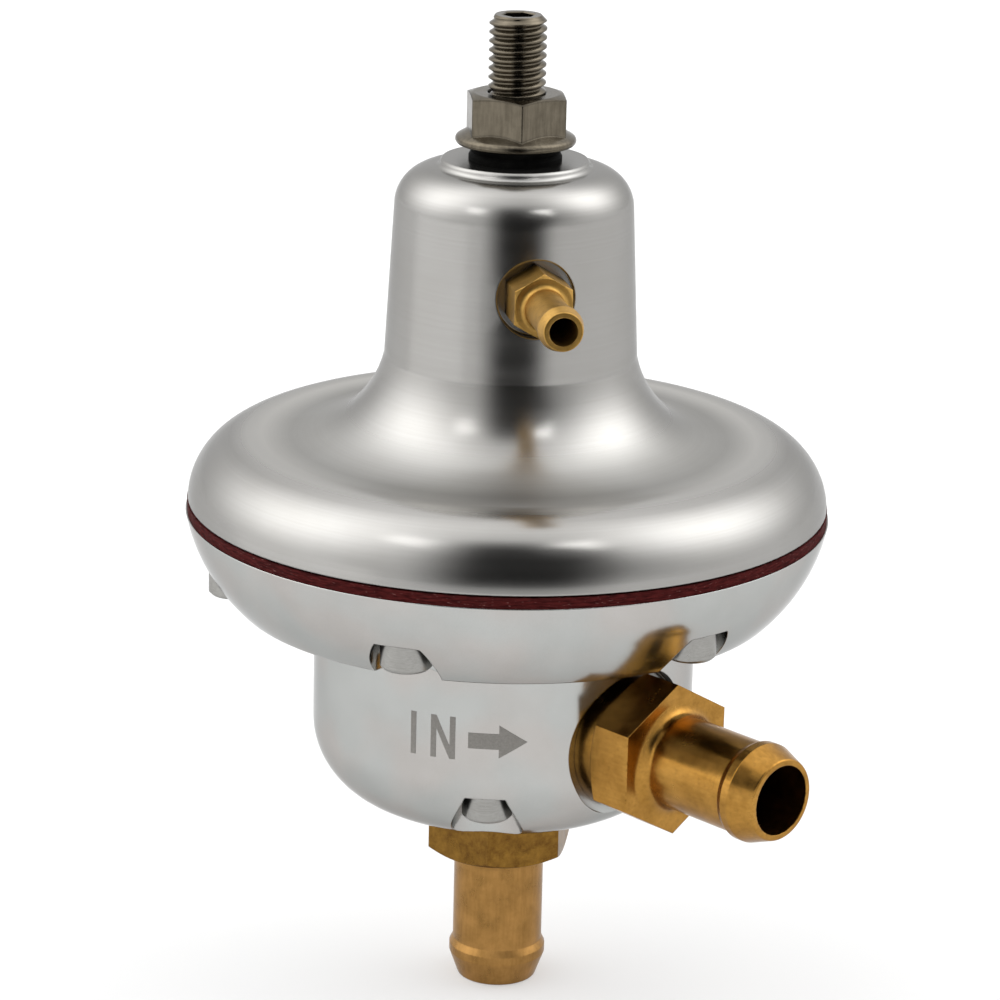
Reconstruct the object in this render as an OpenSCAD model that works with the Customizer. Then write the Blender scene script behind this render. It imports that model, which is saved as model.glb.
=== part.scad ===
// Fuel pressure regulator: a spring-loaded diaphragm valve in a three-piece alloy body.
// The axis is +Z and the inlet tail points along +X.
// The origin lies on the axis, in the middle of the barb land of the outlet tail.

/* [Bell cover] */
// Height of the bell from its lower face to its shoulder
bell_h = 48; // [44:0.5:56]
// Inset of the bell's lower edge from the edge of the flange plate
bell_inset = 0.3; // [0:0.1:1]
// Radius of the rounded rim in section
crown_r = 9.4; // [8:0.1:11]
// Depth of the valley between the rim and the neck
valley_drop = 0.2; // [0.1:0.1:1.5]
// Width of the flat in the valley
valley_flat = 1.4; // [0.2:0.1:3]
// Neck radius at the shoulder
neck_top_r = 16.7; // [16:0.1:18]
// Neck radius at its foot, where the hollow starts
neck_foot_r = 17.8; // [17:0.1:19]
// Height of the neck's foot above the valley
neck_foot_up = 12; // [9:0.1:13]
// Rounding of the shoulder
shoulder_r = 5.5; // [3:0.5:6]
// Radius of the raised face under the lock nut
boss_r = 10.4; // [9:0.1:10.5]
// Height of the raised face above the shoulder
boss_h = 1.1; // [0.6:0.1:2]
// Fillet at the foot of the raised face
boss_foot_r = 0.8; // [0.3:0.1:0.9]
// Wall between the neck and the spring bore, at the shoulder
neck_wall = 3.9; // [3.7:0.1:4.3]
// Thickness of the roof that carries the adjusting screw
roof_t = 10; // [8:0.5:11]
// Wall between the valley and the diaphragm chamber
valley_wall = 3.6; // [2.5:0.1:4.5]
// Land between the diaphragm chamber and the rim screw circle
chamber_land = 6; // [5.4:0.1:6.1]
// Break on the bell's lower edge
bell_edge = 0.3; // [0.1:0.1:0.8]

/* [Upper diaphragm] */
// Inset of the upper diaphragm from the edge of the flange plate
upper_dia_inset = 0.2; // [0:0.1:1]
// Thickness of the upper diaphragm
upper_dia_t = 1.5; // [1:0.1:2]
// Distance from the chamber's wall to the middle of its rolled ring
upper_roll_inset = 4.6; // [4.4:0.1:5]
// Section radius of its rolled ring
upper_roll_r = 3.2; // [2.5:0.1:3.4]

/* [Flange plate] */
// Height of the flange plate
flange_h = 13; // [12:0.1:14]
// Radius of the flange plate at its upper face
flange_r = 45.6; // [44:0.1:46.5]
// Radius of the bowl-shaped side in section
bowl_r = 23.4; // [22:0.2:28]
// Height of the bowl's centre above the upper face
bowl_up = 4.2; // [3:0.1:6]
// Rounding of the lower corner
flange_corner_r = 1; // [0.5:0.1:3]
// Depth of the chamber under the upper diaphragm
flange_bowl_depth = 4.5; // [4.2:0.1:5]
// Depth of the recess over the lower diaphragm
flange_recess_depth = 4.5; // [4.2:0.1:5]
// Clearance of the stem in its guide
stem_clearance = 0.05; // [0.02:0.01:0.1]

/* [Base cup] */
// Height of the base cup
base_h = 28.7; // [28:0.1:34]
// Outer radius of the base cup
base_r = 27.3; // [27:0.1:29]
// Rounding of the lower corner
base_corner_r = 11.4; // [8:0.1:13]
// Radius of the fuel chamber
fuel_chamber_r = 15; // [14.5:0.1:16]
// Thickness of the floor
floor_t = 8.6; // [8.2:0.1:10]
// Fillet between the chamber's wall and floor
chamber_fillet_r = 1.5; // [0.5:0.1:2]
// Height of the inlet above the bottom of the base
inlet_up = 14.6; // [14.2:0.1:16]
// Depth of the face that the inlet tail seats on
inlet_seat_depth = 2.7; // [2.5:0.1:3.1]
// Depth of the face that the outlet tail seats on
outlet_seat_depth = 1.6; // [1:0.1:2.5]
// Radius of the passage from the inlet to the chamber
passage_r = 5; // [4:0.1:5.5]

/* [Lower diaphragm] */
// Inset of the lower diaphragm from the side of the base
lower_dia_inset = 0.3; // [0:0.1:0.8]
// Thickness of the lower diaphragm
lower_dia_t = 1; // [0.8:0.1:1.5]
// Radius of the middle of its rolled ring
lower_roll_at = 12.5; // [12.4:0.1:12.6]
// Section radius of its rolled ring
lower_roll_r = 1.4; // [1.2:0.1:1.6]

/* [Adjuster] */
// Thread radius of the adjusting screw
screw_r = 4; // [3.5:0.1:4.2]
// Length of the adjusting screw
screw_len = 42; // [40:0.5:46]
// Height of the screw's top above the lock nut
screw_stand = 10.8; // [8.5:0.1:14]
// Chamfer at both ends of the screw
screw_chamfer = 0.8; // [0.4:0.1:1.2]
// Width of the hexagon socket in the screw, across flats
key_af = 4; // [3:0.5:4.5]
// Depth of the hexagon socket
key_depth = 5; // [3:0.5:6]
// Clearance of the screw in its threads
thread_clearance = 0.05; // [0.02:0.01:0.1]
// Height of the lock nut
nut_h = 7.2; // [6.5:0.1:10]
// Width of the lock nut, across flats
nut_af = 13; // [12:0.5:14]
// Radius of the lock nut's flange
nut_flange_r = 8.4; // [8:0.1:9.5]
// Thickness of the flange at its edge
nut_edge_t = 1.3; // [1:0.1:1.8]
// Height of the cone from the flange to the hexagon
nut_cone_h = 0.8; // [0.5:0.1:2]
// Radius of the flat on top of the lock nut
nut_top_r = 6; // [5.6:0.1:6.4]
// Angle of the chamfer round that flat
nut_chamfer = 18; // [12:1:30]
// Turn of the lock nut about the axis
nut_turn = 23; // [0:1:60]
// Thickness of the sealing washer
washer_t = 2.1; // [1.5:0.1:3]
// Radius of the sealing washer
washer_r = 6.5; // [6:0.1:7.5]
// Depth of the waist round the sealing washer
washer_waist = 0.3; // [0.1:0.1:0.5]
// Thickness of the spring seat's flange
seat_t = 3; // [2.5:0.1:4]
// Radius of the spring seat's hub
seat_hub_r = 7; // [6.5:0.1:7.8]
// Depth of the socket for the screw's tip
seat_socket = 3; // [2:0.1:4]
// Gap between the spring seat and the spring bore
seat_gap = 0.3; // [0.2:0.1:0.6]

/* [Spring] */
// Wire radius of the main spring
wire_r = 1.1; // [0.8:0.1:1.3]
// Mean radius of the main spring
spring_r = 9.4; // [9.2:0.1:10]
// Number of turns of the main spring
spring_turns = 7; // [5:0.5:8]
// Gap between the spring and the pieces it presses on
spring_gap = 0.1; // [0.05:0.05:0.2]
// Gap between the spring and the registers inside it
register_gap = 0.3; // [0.2:0.1:0.6]
// Height of the spring registers
register_h = 1.5; // [1:0.1:2]

/* [Valve stack] */
// Distance from the middle of the upper rolled ring to the spring plate's edge
plate_inset = 5.4; // [4.4:0.1:6.4]
// Thickness of the spring plate
plate_t = 2; // [1.5:0.1:2.5]
// Distance from the middle of the upper rolled ring to the backing plate's edge
backing_inset = 5.4; // [4.4:0.1:6.4]
// Thickness of the backing plate
backing_t = 2; // [1.5:0.1:2.2]
// Rounding of the plates at the diaphragm
plate_edge_r = 0.8; // [0.3:0.1:1]
// Radius of the stem in its guide
stem_r = 4; // [3.6:0.1:5]
// Radius of the stem's upper end
stem_top_r = 3; // [2.5:0.1:3.4]
// Radius of the stem's lower end
stem_low_r = 2.5; // [2:0.1:3]
// Length of the stem's lower end in the valve disc
stem_grip = 2.6; // [2:0.1:2.8]
// Width of the stem nut, across flats
stem_nut_af = 10; // [9:0.5:11]
// Height of the stem nut
stem_nut_h = 5; // [3:0.5:6]
// Radius of the washer over the lower diaphragm
stem_washer_r = 10; // [9:0.1:10.4]
// Thickness of that washer
stem_washer_t = 2; // [1.5:0.1:2.4]
// Radius of the valve disc
disc_r = 10; // [9:0.1:10.4]
// Thickness of the valve disc
disc_t = 5; // [4.8:0.1:6]
// Radius of the valve pad
pad_r = 6; // [5.5:0.1:7]
// Thickness of the valve pad
pad_t = 2; // [1.8:0.1:2.4]
// Depth of the pad's pocket in the valve disc
pad_pocket = 1.5; // [1.2:0.1:1.6]
// Clearance of the pieces threaded or pressed on one another
joint_clearance = 0.05; // [0.02:0.01:0.1]

/* [Valve seat] */
// Radius of the seat's bore
seat_bore_r = 3.4; // [2.5:0.1:3.6]
// Radius of the seat's nozzle
nozzle_r = 5; // [4.8:0.1:5.4]
// Width of the land that the pad closes on
seat_land = 0.6; // [0.4:0.1:0.8]
// Length of the cone behind the land
seat_cone = 1.6; // [1:0.1:2.5]
// Radius of the seat's foot
seat_foot_r = 7; // [6.5:0.1:8]
// Thickness of the seat's foot
seat_foot_t = 1.5; // [1:0.1:2]
// Radius of the spigot under the foot
seat_spigot_r = 4.6; // [4.4:0.1:4.8]

/* [Hose tails] */
// Width of a hose tail's hexagon, across flats
tail_af = 19; // [17:0.5:19]
// Length of the hexagon
tail_hex_len = 7.2; // [6:0.1:9]
// Radius of the round collar behind the hexagon
tail_collar_r = 9.4; // [8:0.1:9.5]
// Length of the round collar
tail_collar_len = 3.2; // [3:0.1:5]
// Radius of the seat cut for the collar
tail_pocket_r = 10.8; // [10:0.1:11.2]
// Radius of the tail's thread
tail_thread_r = 6.5; // [6:0.1:7]
// Length of the tail's thread
tail_thread_len = 4.6; // [3:0.1:4.8]
// Length from the hexagon to the end of the tail
tail_len = 20; // [16:0.5:28]
// Radius of the tail's shank
tail_shank_r = 6.5; // [6:0.1:6.8]
// Fillet between the shank and the hexagon
tail_fillet_r = 1.8; // [0.5:0.1:2]
// Radius of the barb land
tail_barb_r = 7; // [6.9:0.1:8]
// Length of the barb land
tail_land = 1.2; // [0.8:0.1:2]
// Length of the tapered nose in front of the land
tail_nose = 3.6; // [2.5:0.1:5]
// Radius of the tail at its end
tail_end_r = 5.8; // [5.6:0.1:6.4]
// Rounding of the tail's end
tail_edge_r = 0.4; // [0.2:0.1:0.6]
// Radius of the tail's bore
tail_bore_r = 4.9; // [4:0.1:5.2]
// Turn of the outlet tail's hexagon about the axis
outlet_turn = 7.5; // [0:0.5:60]

/* [Vacuum tail] */
// Height of the vacuum tail above the bell's lower face
vac_up = 33.2; // [32.6:0.1:33.4]
// Direction of the vacuum tail from the inlet, about the axis
vac_turn = -32; // [-35:1:-25]
// Depth of the face that the vacuum tail seats on, below the neck at the shoulder
vac_seat_depth = 1.3; // [0.9:0.1:1.7]
// Radius of the seat cut for the vacuum tail
vac_pocket_r = 5.4; // [5.2:0.1:6]
// Width of the vacuum tail's hexagon, across flats
vac_af = 8; // [7:0.5:8.5]
// Length of the hexagon
vac_hex_len = 6.4; // [5:0.1:8]
// Length from the hexagon to the end of the tail
vac_len = 12.9; // [10:0.1:18]
// Radius of the tail's thread
vac_thread_r = 2.9; // [2.6:0.1:3.5]
// Length of the tail's thread
vac_thread_len = 2.2; // [1:0.1:2.3]
// Radius of the tail's shank
vac_shank_r = 2.7; // [2.5:0.1:2.9]
// Fillet between the shank and the hexagon
vac_fillet_r = 0.8; // [0.3:0.1:0.8]
// Radius of the barb land
vac_barb_r = 3.1; // [3:0.1:3.8]
// Length of the barb land
vac_land = 0.8; // [0.6:0.1:1.5]
// Length of the tapered nose in front of the land
vac_nose = 1.8; // [1.2:0.1:3]
// Radius of the tail at its end
vac_end_r = 2.7; // [2.6:0.1:3]
// Rounding of the tail's end
vac_edge_r = 0.2; // [0.1:0.1:0.4]
// Radius of the tail's bore
vac_bore_r = 1.95; // [1.4:0.05:2.1]

/* [Cap screws] */
// Turn of both screw circles from the inlet
screw_phase = -3; // [-5:0.5:5]
// Shank radius of the cap screws
cap_r = 2; // [1.5:0.1:2.2]
// Head radius of the cap screws
cap_head_r = 3.55; // [3:0.05:3.8]
// Head height of the cap screws
cap_head_h = 4; // [3:0.1:5]
// Width of the socket in a cap screw, across flats
cap_key_af = 3; // [2:0.5:3.5]
// Depth of the socket in a cap screw
cap_key_depth = 2; // [1:0.1:2.5]
// Gap between a head and its pocket
pocket_gap = 1.4; // [0.8:0.1:1.6]
// Clearance of a shank in a plain hole
hole_gap = 0.2; // [0.1:0.05:0.4]
// Room beyond the tip of a screw in its blind hole
tip_room = 1; // [0.5:0.1:1.5]
// Number of screws round the rim
rim_count = 6; // [5:1:8]
// Distance from the edge of the flange plate to the rim screw circle
rim_edge = 6.6; // [6.1:0.1:7.1]
// Thickness of the flange plate under the rim screw heads
rim_grip = 7.4; // [6.5:0.1:8]
// Length of the rim screws
rim_screw_len = 14; // [12:0.5:15]
// Number of screws under the base
base_count = 4; // [4:1:5]
// Distance from the side of the base to the base screw circle
base_edge = 4.6; // [4.3:0.1:5.1]
// Height of the base screw seats above the bottom of the base
base_seat_up = 8.6; // [7:0.1:9]
// Length of the base screws
base_screw_len = 26.5; // [24.5:0.5:27.5]

/* [Hidden] */
$fn = 96;
over = 1;
arc_steps = 14;

// Levels along the axis, built up from the outlet tail
outlet_end_z = -tail_land / 2 - tail_nose;
outlet_seat_z = outlet_end_z + tail_len + tail_hex_len + tail_collar_len;
base_z = outlet_seat_z - outlet_seat_depth;
floor_z = base_z + floor_t;
inlet_z = base_z + inlet_up;
base_top_z = base_z + base_h;
flange_z = base_top_z + lower_dia_t;
flange_top_z = flange_z + flange_h;
bell_z = flange_top_z + upper_dia_t;
shoulder_z = bell_z + bell_h;
boss_z = shoulder_z + boss_h;
roof_z = shoulder_z - roof_t;
nut_z = boss_z + washer_t;
screw_top_z = nut_z + nut_h + screw_stand;
screw_tip_z = screw_top_z - screw_len;
vac_z = bell_z + vac_up;

// Valve stack, hung from the upper diaphragm
plate_top_z = bell_z + plate_t;
register_z = plate_top_z + register_h;
backing_z = flange_top_z - backing_t;
stem_foot_z = flange_z + stem_washer_t;
stem_end_z = base_top_z - stem_grip;
disc_z = base_top_z - disc_t;
pad_z = disc_z + pad_pocket - pad_t;

// Radii that follow the edge of the flange plate
bell_rim_r = flange_r - bell_inset;
upper_dia_r = flange_r - upper_dia_inset;
rim_circle_r = flange_r - rim_edge;
chamber_r = rim_circle_r - chamber_land;
upper_roll_at = chamber_r - upper_roll_inset;
plate_r = upper_roll_at - plate_inset;
backing_r = upper_roll_at - backing_inset;

// Radii that follow the side of the base and the neck
lower_dia_r = base_r - lower_dia_inset;
base_circle_r = base_r - base_edge;
inlet_seat = base_r - inlet_seat_depth;
spring_bore_r = neck_top_r - neck_wall;
vac_seat = neck_top_r - vac_seat_depth;

// Bell profile, where the hollow runs from the neck's foot into the valley
valley_z = crown_r - valley_drop;
crown_at = bell_rim_r - crown_r;
crown_start = 180 - asin(valley_z / crown_r);
hollow_at = crown_at + crown_r * cos(crown_start) - valley_flat;
hollow_room = hollow_at - neck_foot_r;
hollow_up = min(neck_foot_up, hollow_room);
hollow_r = (hollow_room * hollow_room + hollow_up * hollow_up) / (2 * hollow_up);
hollow_start = 180 + asin((hollow_r - hollow_up) / hollow_r);
ceiling_z = valley_z - valley_wall;
inner_fillet_r = min(hollow_at, chamber_r) - spring_bore_r;

// Spring and its seats
seat_under_z = screw_tip_z - seat_t;
spring_len = seat_under_z - plate_top_z - 2 * spring_gap;
register_r = spring_r - wire_r - register_gap;

// Cap screw seats
rim_seat_z = flange_top_z - rim_grip;
base_seat_z = base_z + base_seat_up;
pocket_r = cap_head_r + pocket_gap;
hole_r = cap_r + hole_gap;
tapped_r = cap_r + joint_clearance;

ALLOY = [0.80, 0.80, 0.79];
BRASS = [0.72, 0.53, 0.24];
STEEL = [0.58, 0.57, 0.55];
MAROON = [0.36, 0.10, 0.09];
BLACK = [0.04, 0.04, 0.04];

// Points of an arc round a centre, from one angle to another
function arc(centre, r, from, to, steps = arc_steps) =
    [for (i = [0 : steps]) centre + r * [cos(from + (to - from) * i / steps), sin(from + (to - from) * i / steps)]];

// Corner radius of a hexagon from its width across flats
function hex_r(af) = af / sqrt(3);

// Copies of the children round a screw circle
module on_circle(count, r, start) {
    for (i = [0 : count - 1])
        rotate(start + i * 360 / count)
            translate([r, 0, 0])
                children();
}

module on_rim() {
    on_circle(rim_count, rim_circle_r, screw_phase) children();
}

module on_base() {
    on_circle(base_count, base_circle_r, screw_phase + 180 / base_count) children();
}

// Turns a piece made along +Z to point outwards along +X
module outwards() {
    rotate([0, 90, 0]) children();
}

// Socket-head cap screw that points up, with its head's seat at zero
module cap_screw(len) {
    difference() {
        rotate_extrude()
            polygon(concat(
                [[0, -cap_head_h], [cap_head_r - cap_head_h / 10, -cap_head_h]],
                [[cap_head_r, -cap_head_h * 9 / 10], [cap_head_r, 0], [cap_r, 0]],
                [[cap_r, len - cap_r / 4], [cap_r * 3 / 4, len], [0, len]]));
        translate([0, 0, -cap_head_h - over])
            cylinder(r = hex_r(cap_key_af), h = cap_key_depth + over, $fn = 6);
    }
}

// Hexagon along +Z whose corners are turned down to a circle at one or both ends
module turned_hex(af, len, round_r, both_ends) {
    corner = hex_r(af);
    fall = (corner - round_r) * tan(30);
    intersection() {
        cylinder(r = corner, h = len, $fn = 6);
        rotate_extrude()
            polygon(both_ends
                ? [[0, 0], [round_r, 0], [corner, fall], [corner, len - fall], [round_r, len], [0, len]]
                : [[0, 0], [round_r, 0], [corner, fall], [corner, len], [0, len]]);
    }
}

// Revolved shank and barb of a hose tail, from its hexagon at zero to its end
module barbed_shank(len, shank, fillet, barb, land, nose, tip, edge) {
    land_at = len - nose - land;
    taper = atan((barb - tip) / nose);
    rotate_extrude()
        polygon(concat(
            [[0, -over], [shank + fillet, -over]],
            arc([shank + fillet, fillet], fillet, 270, 180),
            [[shank, land_at - 2 * (barb - shank)], [barb, land_at], [barb, len - nose]],
            arc([tip - edge, len - edge], edge, taper, 90, 5),
            [[0, len]]));
}

// Diaphragm with a rolled ring, clamped flat outside and inside it
module rolled_sheet(r, t, hole, roll_at, roll) {
    rise = asin(t / 2 / (roll + t / 2));
    rotate_extrude()
        polygon(concat(
            [[hole, 0], [roll_at - roll + t / 2, 0]],
            arc([roll_at, t / 2], roll - t / 2, 180, 0),
            [[roll_at + roll - t / 2, 0], [r, 0], [r, t]],
            arc([roll_at, t / 2], roll + t / 2, rise, 180 - rise),
            [[hole, t]]));
}

// Height of the coil's centre line after a number of turns, with a closed turn at each end
function coil_z(u, turns, len, wire) =
    let (closed = 2 * wire, pitch = (len - 2 * wire - 2 * closed) / (turns - 2))
    u < 1 ? wire + u * closed
    : u > turns - 1 ? len - wire - (turns - u) * closed
    : wire + closed + (u - 1) * pitch;

// Helical compression spring that stands on zero
module coil_spring(r, wire, len, turns) {
    steps = round(turns * 24);
    sides = 10;
    points = [for (i = [0 : steps], k = [0 : sides - 1])
        let (u = turns * i / steps, a = 360 * u, b = 360 * k / sides, q = r + wire * cos(b))
        [q * cos(a), q * sin(a), coil_z(u, turns, len, wire) + wire * sin(b)]];
    walls = [for (i = [0 : steps - 1], k = [0 : sides - 1])
        let (p = i * sides, n = (k + 1) % sides)
        [p + k, p + sides + k, p + sides + n, p + n]];
    start = [[for (k = [0 : sides - 1]) k]];
    end = [[for (k = [sides - 1 : -1 : 0]) steps * sides + k]];
    polyhedron(points, concat(walls, start, end));
}

module bell_cover() {
    color(ALLOY)
    difference() {
        translate([0, 0, bell_z])
            rotate_extrude()
                polygon(concat(
                    [[screw_r + thread_clearance, bell_h - roof_t], [screw_r + thread_clearance, bell_h + boss_h]],
                    [[boss_r - bell_edge, bell_h + boss_h], [boss_r, bell_h + boss_h - bell_edge]],
                    arc([boss_r + boss_foot_r, bell_h + boss_foot_r], boss_foot_r, 180, 270, 5),
                    arc([neck_top_r - shoulder_r, bell_h - shoulder_r], shoulder_r, 90, 0),
                    arc([hollow_at, valley_z + hollow_r], hollow_r, hollow_start, 270),
                    arc([crown_at, 0], crown_r, crown_start, asin(bell_edge / crown_r), arc_steps + 6),
                    [[bell_rim_r - bell_edge, 0], [chamber_r, 0], [chamber_r, ceiling_z]],
                    arc([spring_bore_r + inner_fillet_r, ceiling_z + inner_fillet_r], inner_fillet_r, 270, 180),
                    [[spring_bore_r, bell_h - roof_t]]));
        on_rim()
            translate([0, 0, bell_z - over])
                cylinder(r = tapped_r, h = over + rim_seat_z + rim_screw_len + tip_room - bell_z);
        rotate(vac_turn)
            translate([0, 0, vac_z])
                outwards() {
                    cylinder(r = vac_thread_r + joint_clearance, h = neck_foot_r);
                    translate([0, 0, vac_seat])
                        cylinder(r = vac_pocket_r, h = neck_foot_r);
                }
    }
}

module flange_plate() {
    bowl_at = flange_r - sqrt(bowl_r * bowl_r - bowl_up * bowl_up);
    corner_z = flange_corner_r - flange_h;
    reach = bowl_r - flange_corner_r;
    corner_at = bowl_at + sqrt(reach * reach - pow(bowl_up - corner_z, 2));
    tangent = asin((corner_z - bowl_up) / reach);
    guide_r = stem_r + stem_clearance;
    color(ALLOY)
    difference() {
        translate([0, 0, flange_top_z])
            rotate_extrude()
                polygon(concat(
                    [[guide_r, -flange_bowl_depth], [chamber_r, -flange_bowl_depth], [chamber_r, 0]],
                    arc([bowl_at, bowl_up], bowl_r, -asin(bowl_up / bowl_r), tangent),
                    arc([corner_at, corner_z], flange_corner_r, tangent, -90, 8),
                    [[fuel_chamber_r, -flange_h], [fuel_chamber_r, flange_recess_depth - flange_h]],
                    [[guide_r, flange_recess_depth - flange_h]]));
        on_rim() {
            translate([0, 0, flange_z - over])
                cylinder(r = hole_r, h = flange_h + 2 * over);
            translate([0, 0, flange_z - over])
                cylinder(r = pocket_r, h = rim_seat_z - flange_z + over);
        }
        on_base()
            translate([0, 0, flange_z - over])
                cylinder(r = tapped_r, h = over + base_seat_z + base_screw_len + tip_room - flange_z);
    }
}

module base_cup() {
    color(ALLOY)
    difference() {
        translate([0, 0, base_z])
            rotate_extrude()
                polygon(concat(
                    [[0, 0]],
                    arc([base_r - base_corner_r, base_corner_r], base_corner_r, 270, 360),
                    [[base_r, base_h - bell_edge], [base_r - bell_edge, base_h], [fuel_chamber_r, base_h]],
                    arc([fuel_chamber_r - chamber_fillet_r, floor_t + chamber_fillet_r], chamber_fillet_r, 0, -90, 5),
                    [[0, floor_t]]));
        // Inlet seat, thread and passage
        translate([0, 0, inlet_z])
            outwards() {
                cylinder(r = passage_r, h = base_r);
                translate([0, 0, inlet_seat - tail_thread_len])
                    cylinder(r = tail_thread_r + joint_clearance, h = base_r);
                translate([0, 0, inlet_seat])
                    cylinder(r = tail_pocket_r, h = base_r);
            }
        // Outlet seat, thread and the hole for the valve seat
        translate([0, 0, base_z - over])
            cylinder(r = tail_pocket_r, h = outlet_seat_depth + over);
        translate([0, 0, base_z])
            cylinder(r = tail_thread_r + joint_clearance, h = outlet_seat_depth + tail_thread_len);
        translate([0, 0, base_z])
            cylinder(r = seat_spigot_r + joint_clearance, h = floor_t + over);
        // Pockets and holes of the base screws
        on_base() {
            translate([0, 0, base_z - over])
                cylinder(r = pocket_r, h = base_seat_up + over);
            translate([0, 0, base_z])
                cylinder(r = hole_r, h = base_h + over);
        }
    }
}

module upper_diaphragm() {
    color(MAROON)
    difference() {
        translate([0, 0, flange_top_z])
            rolled_sheet(upper_dia_r, upper_dia_t, stem_top_r + joint_clearance, upper_roll_at, upper_roll_r);
        on_rim()
            translate([0, 0, flange_top_z - over])
                cylinder(r = hole_r, h = upper_dia_t + 2 * over);
    }
}

module lower_diaphragm() {
    color(MAROON)
    difference() {
        translate([0, 0, base_top_z])
            rolled_sheet(lower_dia_r, lower_dia_t, stem_low_r + joint_clearance, lower_roll_at, lower_roll_r);
        on_base()
            translate([0, 0, base_top_z - over])
                cylinder(r = hole_r, h = lower_dia_t + 2 * over);
    }
}

module adjusting_screw() {
    color(STEEL)
    difference() {
        translate([0, 0, screw_tip_z])
            rotate_extrude()
                polygon([[0, 0], [screw_r - screw_chamfer, 0], [screw_r, screw_chamfer],
                    [screw_r, screw_len - screw_chamfer], [screw_r - screw_chamfer, screw_len], [0, screw_len]]);
        translate([0, 0, screw_top_z - key_depth])
            cylinder(r = hex_r(key_af), h = key_depth + over, $fn = 6);
    }
}

module lock_nut() {
    cone_z = nut_edge_t + nut_cone_h;
    fall = (hex_r(nut_af) - nut_top_r) * tan(nut_chamfer);
    color(STEEL)
    translate([0, 0, nut_z])
    rotate(nut_turn)
    difference() {
        union() {
            intersection() {
                cylinder(r = hex_r(nut_af), h = nut_h, $fn = 6);
                rotate_extrude()
                    polygon([[0, 0], [nut_flange_r, 0], [nut_flange_r, nut_h - fall], [hex_r(nut_af), nut_h - fall],
                        [nut_top_r, nut_h], [0, nut_h]]);
            }
            rotate_extrude()
                polygon(concat(
                    [[0, 0]],
                    arc([nut_flange_r - nut_edge_t / 2, nut_edge_t / 2], nut_edge_t / 2, -90, 60, 8),
                    [[nut_af / 2, cone_z], [0, cone_z]]));
        }
        translate([0, 0, -over])
            cylinder(r = screw_r + thread_clearance, h = nut_h + 2 * over);
    }
}

module sealing_washer() {
    bore = screw_r + thread_clearance;
    color(BLACK)
    translate([0, 0, boss_z])
        rotate_extrude()
            polygon([[bore, 0], [washer_r, 0], [washer_r, washer_t / 4], [washer_r - washer_waist, washer_t / 2],
                [washer_r, washer_t * 3 / 4], [washer_r, washer_t], [bore, washer_t]]);
}

module spring_seat() {
    rim = spring_bore_r - seat_gap;
    socket = screw_r + thread_clearance;
    color(STEEL)
    translate([0, 0, seat_under_z])
        rotate_extrude()
            polygon([[0, -register_h], [register_r - register_h / 3, -register_h], [register_r, 0], [rim, 0],
                [rim, seat_t - bell_edge], [rim - bell_edge, seat_t], [seat_hub_r, seat_t],
                [seat_hub_r, seat_t + seat_socket], [socket, seat_t + seat_socket], [socket, seat_t], [0, seat_t]]);
}

module main_spring() {
    color(STEEL)
    translate([0, 0, plate_top_z + spring_gap])
        coil_spring(spring_r, wire_r, spring_len, spring_turns);
}

module spring_plate() {
    hole = stem_top_r + joint_clearance;
    color(STEEL)
    translate([0, 0, bell_z])
        rotate_extrude()
            polygon(concat(
                [[hole, 0]],
                arc([plate_r - plate_edge_r, plate_edge_r], plate_edge_r, 270, 360, 5),
                [[plate_r, plate_t], [register_r, plate_t]],
                [[register_r - register_h / 3, plate_t + register_h], [hole, plate_t + register_h]]));
}

module backing_plate() {
    hole = stem_top_r + joint_clearance;
    color(STEEL)
    translate([0, 0, backing_z])
        rotate_extrude()
            polygon(concat(
                [[hole, 0], [backing_r, 0]],
                arc([backing_r - plate_edge_r, backing_t - plate_edge_r], plate_edge_r, 0, 90, 5),
                [[hole, backing_t]]));
}

module stem() {
    top_z = register_z + stem_nut_h + stem_nut_h / 5;
    color(STEEL)
    rotate_extrude()
        polygon([[0, stem_end_z], [stem_low_r, stem_end_z], [stem_low_r, stem_foot_z], [stem_r, stem_foot_z],
            [stem_r, backing_z], [stem_top_r, backing_z], [stem_top_r, top_z - stem_nut_h / 10],
            [stem_top_r - stem_nut_h / 10, top_z], [0, top_z]]);
}

module stem_nut() {
    color(STEEL)
    translate([0, 0, register_z])
    difference() {
        turned_hex(stem_nut_af, stem_nut_h, stem_nut_af / 2, true);
        translate([0, 0, -over])
            cylinder(r = stem_top_r + joint_clearance, h = stem_nut_h + 2 * over);
    }
}

module stem_washer() {
    hole = stem_low_r + joint_clearance;
    color(STEEL)
    translate([0, 0, flange_z])
        rotate_extrude()
            polygon(concat(
                [[hole, 0]],
                arc([stem_washer_r - plate_edge_r, plate_edge_r], plate_edge_r, 270, 360, 5),
                [[stem_washer_r, stem_washer_t], [hole, stem_washer_t]]));
}

module valve_disc() {
    hole = stem_low_r + joint_clearance;
    pad = pad_r + joint_clearance;
    color(BRASS)
    translate([0, 0, disc_z])
        rotate_extrude()
            polygon(concat(
                [[0, pad_pocket], [pad, pad_pocket], [pad, 0], [disc_r - plate_edge_r, 0]],
                [[disc_r, plate_edge_r]],
                arc([disc_r - plate_edge_r, disc_t - plate_edge_r], plate_edge_r, 0, 90, 5),
                [[hole, disc_t], [hole, disc_t - stem_grip], [0, disc_t - stem_grip]]));
}

module valve_pad() {
    color(BLACK)
    translate([0, 0, pad_z])
        cylinder(r = pad_r, h = pad_t);
}

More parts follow.
